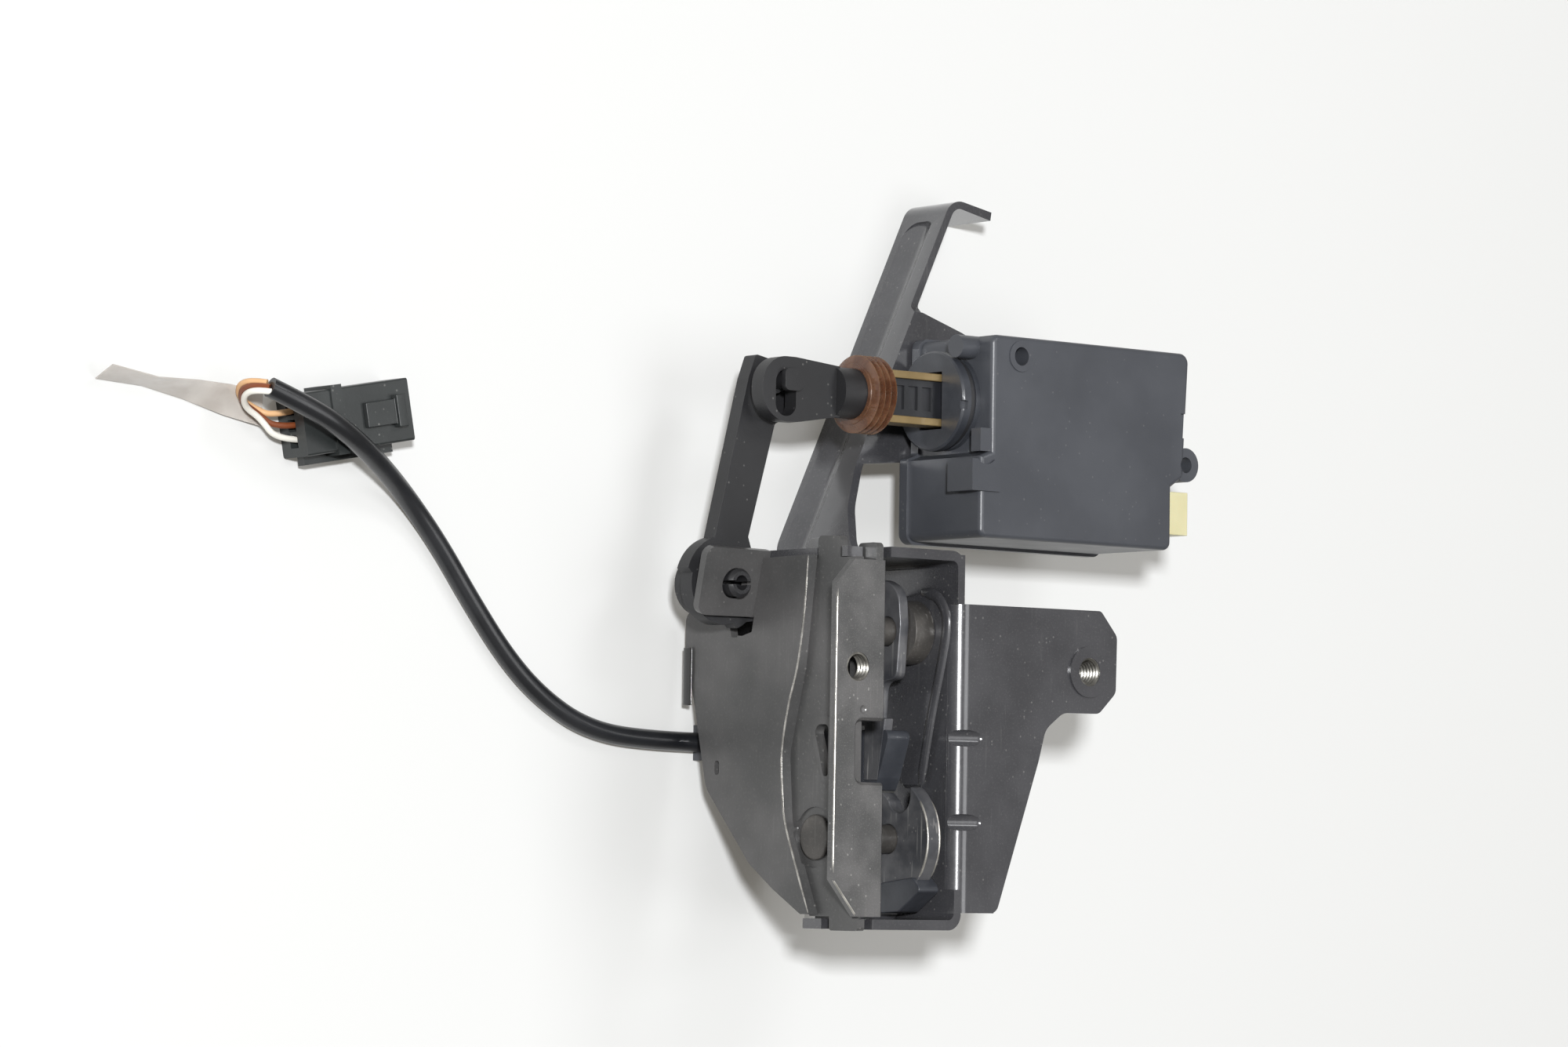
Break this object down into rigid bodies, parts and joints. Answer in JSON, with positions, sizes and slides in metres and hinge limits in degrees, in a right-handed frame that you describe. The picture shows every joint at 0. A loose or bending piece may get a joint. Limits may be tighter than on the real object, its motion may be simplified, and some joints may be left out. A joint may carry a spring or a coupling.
{
  "type": "tailgate lock",
  "caption": "Tailgate latch: hooked catch and pawl in a bent steel frame, moulded release lever, plunger actuator on a raised arm, and a cable ending in a plug.",
  "frame": {"origin": "centre of the M8 threaded hole in the front strip, on the strip's front face", "axes": "+Z out of the mounting face, +Y up the lock, +X from the cover plate to the frame plate and the actuator"},
  "size_m": [0.3412, 0.2123, 0.0807],
  "materials": {
    "frame_steel": "glossy black, speckled",
    "cover_steel": "phosphated, brownish sheen",
    "pin_steel": "satin",
    "screw_steel": "zinc",
    "latch_steel": "dark, greased",
    "spring_steel": "satin",
    "black_plastic": "matte",
    "grey_plastic": "matte",
    "red_plastic": "matte",
    "brown_rubber": "translucent",
    "black_rubber": "matte",
    "olive_rail": "semi-gloss",
    "yellow_plastic": "pale",
    "contact_brass": "bright",
    "cable_jacket": "satin",
    "wire_white": "satin",
    "wire_brown": "satin",
    "wire_tan": "satin",
    "film": "thin, clear"
  },
  "bodies": {
    "housing": {"actuator_front_shell": "black_plastic", "actuator_rear_shell": "black_plastic", "actuator_socket": "yellow_plastic", "bracket_screw_1": "screw_steel", "bracket_screw_2": "screw_steel", "cable_clip": "black_plastic", "cable_sleeve": "cable_jacket", "case_screw_1": "screw_steel", "case_screw_2": "screw_steel", "case_screw_3": "screw_steel", "catch_rivet": "pin_steel", "catch_spring": "spring_steel", "contact_blade_1": "contact_brass", "contact_blade_2": "contact_brass", "contact_blade_3": "contact_brass", "cover_plate": "cover_steel", "frame_plate": "frame_steel", "front_strip": "cover_steel", "label_film": "film", "motor_can": "pin_steel", "nose_collar": "black_plastic", "nose_seal": "black_rubber", "pawl_rivet": "pin_steel", "pawl_spacer": "latch_steel", "pawl_spring": "spring_steel", "plug_housing": "black_plastic", "plug_lock": "black_plastic", "rocker_rivet": "pin_steel", "switch_body": "black_plastic", "switch_bracket": "frame_steel", "terminal_1": "contact_brass", "terminal_2": "contact_brass", "terminal_3": "contact_brass", "wire_brown": "wire_brown", "wire_tan": "wire_tan", "wire_white": "wire_white"},
    "plunger": {"link_eye": "black_plastic", "bellows": "brown_rubber", "rail_upper": "olive_rail", "rail_lower": "olive_rail", "plunger_core": "grey_plastic", "rack_bar": "grey_plastic"},
    "lever": {"outer_lever": "black_plastic"},
    "rocker": {"release_rocker": "latch_steel"},
    "pawl": {"pawl_core": "latch_steel", "pawl_tip": "black_plastic"},
    "catch": {"catch_core": "latch_steel", "catch_bumper": "black_plastic"},
    "gear": {"gear_wheel": "grey_plastic", "gear_pinion": "grey_plastic"},
    "rotor": {"motor_rotor": "pin_steel"},
    "button": {"switch_button": "red_plastic"}
  },
  "joints": [
    {"name": "plunger_slide", "type": "slide", "parent": "housing", "child": "plunger", "axis": [1, 0, 0], "range_m": [0, 0.018]},
    {"name": "lever_hinge", "type": "hinge", "parent": "housing", "child": "lever", "pos_m": [-0.0092, 0.0237, -0.0503], "axis": [0, 0, -1], "range_deg": [0, 17.52]},
    {"name": "rocker_hinge", "type": "hinge", "parent": "housing", "child": "rocker", "pos_m": [0.02, 0.003, -0.044], "axis": [-1, 0, 0], "range_deg": [0, 28.01]},
    {"name": "pawl_hinge", "type": "hinge", "parent": "housing", "child": "pawl", "pos_m": [0.0257, 0.011, -0.017], "axis": [1, 0, 0], "range_deg": [0, 14.01]},
    {"name": "catch_hinge", "type": "hinge", "parent": "housing", "child": "catch", "pos_m": [0.0297, -0.0463, -0.0192], "axis": [1, 0, 0], "range_deg": [0, 40.01]},
    {"name": "gear_spin", "type": "hinge", "parent": "housing", "child": "gear", "pos_m": [0.092, 0.0675, -0.033], "axis": [0, 0, -1], "range_deg": [0, 171.9]},
    {"name": "rotor_spin", "type": "hinge", "parent": "housing", "child": "rotor", "pos_m": [0.11001, 0.0571, -0.033], "axis": [0, 0, 1], "range_deg": [0, 572.97]},
    {"name": "button_press", "type": "slide", "parent": "housing", "child": "button", "axis": [0, 0, -1], "range_m": [0, 0.0012], "stiffness_N_per_m": 400}
  ],
  "couplings": [
    {"joint": "lever_hinge", "follows": "plunger_slide", "rad_per_m": 16.968},
    {"joint": "rocker_hinge", "follows": "plunger_slide", "rad_per_m": 27.15},
    {"joint": "pawl_hinge", "follows": "plunger_slide", "rad_per_m": 13.575},
    {"joint": "catch_hinge", "follows": "plunger_slide", "rad_per_m": 38.785},
    {"joint": "gear_spin", "follows": "plunger_slide", "rad_per_m": 166.67},
    {"joint": "rotor_spin", "follows": "plunger_slide", "rad_per_m": 555.56}
  ]
}
